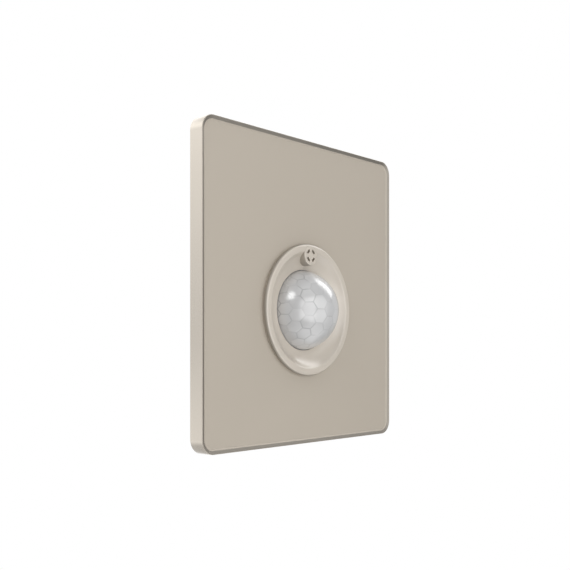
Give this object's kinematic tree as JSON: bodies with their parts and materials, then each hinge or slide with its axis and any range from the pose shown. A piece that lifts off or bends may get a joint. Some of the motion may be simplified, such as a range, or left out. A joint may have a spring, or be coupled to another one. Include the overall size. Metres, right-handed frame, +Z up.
{
  "type": "motion sensor light switch",
  "caption": "Flush wall-box motion sensor light switch: square champagne-framed cover, round dished bezel with a domed faceted lens and a sound port, relay housing with screw terminals behind.",
  "frame": {"origin": "middle of the cover on the wall plane, midway between the two wall box screws", "axes": "+X to the right seen from the front, +Z up, +Y into the wall, so the face looks along -Y"},
  "size_m": [0.086, 0.0413, 0.09],
  "materials": {
    "champagne_metal": "fine satin anodised champagne",
    "face_beige": "fine satin beige paint",
    "white_abs": "moulded off-white",
    "bezel_beige": "satin moulded beige",
    "milky_lens": "milky translucent, polished outside",
    "zinc_steel": "zinc plated pressed steel",
    "white_pc": "moulded flame-retardant off-white",
    "zinc_screw": "zinc plated",
    "green_board": "green solder mask",
    "sensor_can": "nickel plated can",
    "ir_filter": "dark coated silicon",
    "clear_epoxy": "water-clear epoxy",
    "capsule_aluminium": "drawn can",
    "black_rubber": "soft moulded rubber",
    "black_epoxy": "moulded epoxy with tinned legs",
    "capacitor_can": "bare can on a dark foot",
    "chip_black": "glazed with tinned ends",
    "trimmer_blue": "moulded blue",
    "trimmer_white": "moulded off-white",
    "header_black": "moulded black",
    "gold_pin": "gold flashed",
    "tan_board": "bare paper laminate",
    "relay_blue": "moulded blue case",
    "film_yellow": "epoxy filled yellow case",
    "sleeve_black": "black shrink sleeve",
    "varistor_blue": "dipped blue epoxy",
    "resistor_green": "flame-proof coat",
    "diode_black": "moulded epoxy",
    "brass_bar": "bright brass"
  },
  "bodies": {
    "base": {"mounting_plate": "zinc_steel", "rear_housing": "white_pc", "plate_screws": "zinc_screw", "sensor_board": "green_board", "sensor_board_screws": "zinc_screw", "pir_sensor": "sensor_can", "pir_window": "ir_filter", "light_sensor": "clear_epoxy", "microphone": "capsule_aluminium", "microphone_boot": "black_rubber", "control_chip": "black_epoxy", "signal_capacitors": "capacitor_can", "chip_resistors": "chip_black", "time_trimmer_body": "trimmer_blue", "lux_trimmer_body": "trimmer_blue", "header_base": "header_black", "header_pins": "gold_pin", "power_board": "tan_board", "power_board_screws": "zinc_screw", "relay": "relay_blue", "film_capacitor": "film_yellow", "bulk_capacitor": "sleeve_black", "varistor": "varistor_blue", "fuse_resistor": "resistor_green", "rectifier_diodes": "diode_black", "terminal_block": "white_pc", "terminal_bars": "brass_bar"},
    "cover": {"trim_frame": "champagne_metal", "face_panel": "face_beige", "cover_carrier": "white_abs", "sensor_bezel": "bezel_beige", "fresnel_lens": "milky_lens", "lens_retainer": "white_abs"},
    "time_trimmer": {"time_trimmer_rotor": "trimmer_white"},
    "lux_trimmer": {"lux_trimmer_rotor": "trimmer_white"},
    "terminal_screw_1": {"terminal_screw_1": "zinc_screw"},
    "wire_clamp_1": {"wire_clamp_1": "zinc_steel"},
    "terminal_screw_2": {"terminal_screw_2": "zinc_screw"},
    "wire_clamp_2": {"wire_clamp_2": "zinc_steel"},
    "terminal_screw_3": {"terminal_screw_3": "zinc_screw"},
    "wire_clamp_3": {"wire_clamp_3": "zinc_steel"}
  },
  "joints": [
    {"name": "cover_pull", "type": "slide", "parent": "base", "child": "cover", "axis": [0, -1, 0], "range_m": [0, 0.03]},
    {"name": "time_set", "type": "hinge", "parent": "base", "child": "time_trimmer", "pos_m": [-0.014, 0, 0.019], "axis": [0, -1, 0], "range_deg": [-135, 135]},
    {"name": "lux_set", "type": "hinge", "parent": "base", "child": "lux_trimmer", "pos_m": [0.014, 0, 0.019], "axis": [0, -1, 0], "range_deg": [-135, 135]},
    {"name": "screw_1_turn", "type": "hinge", "parent": "base", "child": "terminal_screw_1", "pos_m": [-0.008, 0.026, -0.022], "axis": [0, -1, 0], "range_deg": [0, 1800]},
    {"name": "clamp_1_draw", "type": "slide", "parent": "base", "child": "wire_clamp_1", "axis": [0, 1, 0], "range_m": [0, 0.0025]},
    {"name": "screw_2_turn", "type": "hinge", "parent": "base", "child": "terminal_screw_2", "pos_m": [0, 0.026, -0.022], "axis": [0, -1, 0], "range_deg": [0, 1800]},
    {"name": "clamp_2_draw", "type": "slide", "parent": "base", "child": "wire_clamp_2", "axis": [0, 1, 0], "range_m": [0, 0.0025]},
    {"name": "screw_3_turn", "type": "hinge", "parent": "base", "child": "terminal_screw_3", "pos_m": [0.008, 0.026, -0.022], "axis": [0, -1, 0], "range_deg": [0, 1800]},
    {"name": "clamp_3_draw", "type": "slide", "parent": "base", "child": "wire_clamp_3", "axis": [0, 1, 0], "range_m": [0, 0.0025]}
  ],
  "couplings": [
    {"joint": "screw_1_turn", "follows": "clamp_1_draw", "rad_per_m": 12566},
    {"joint": "screw_2_turn", "follows": "clamp_2_draw", "rad_per_m": 12566},
    {"joint": "screw_3_turn", "follows": "clamp_3_draw", "rad_per_m": 12566}
  ]
}
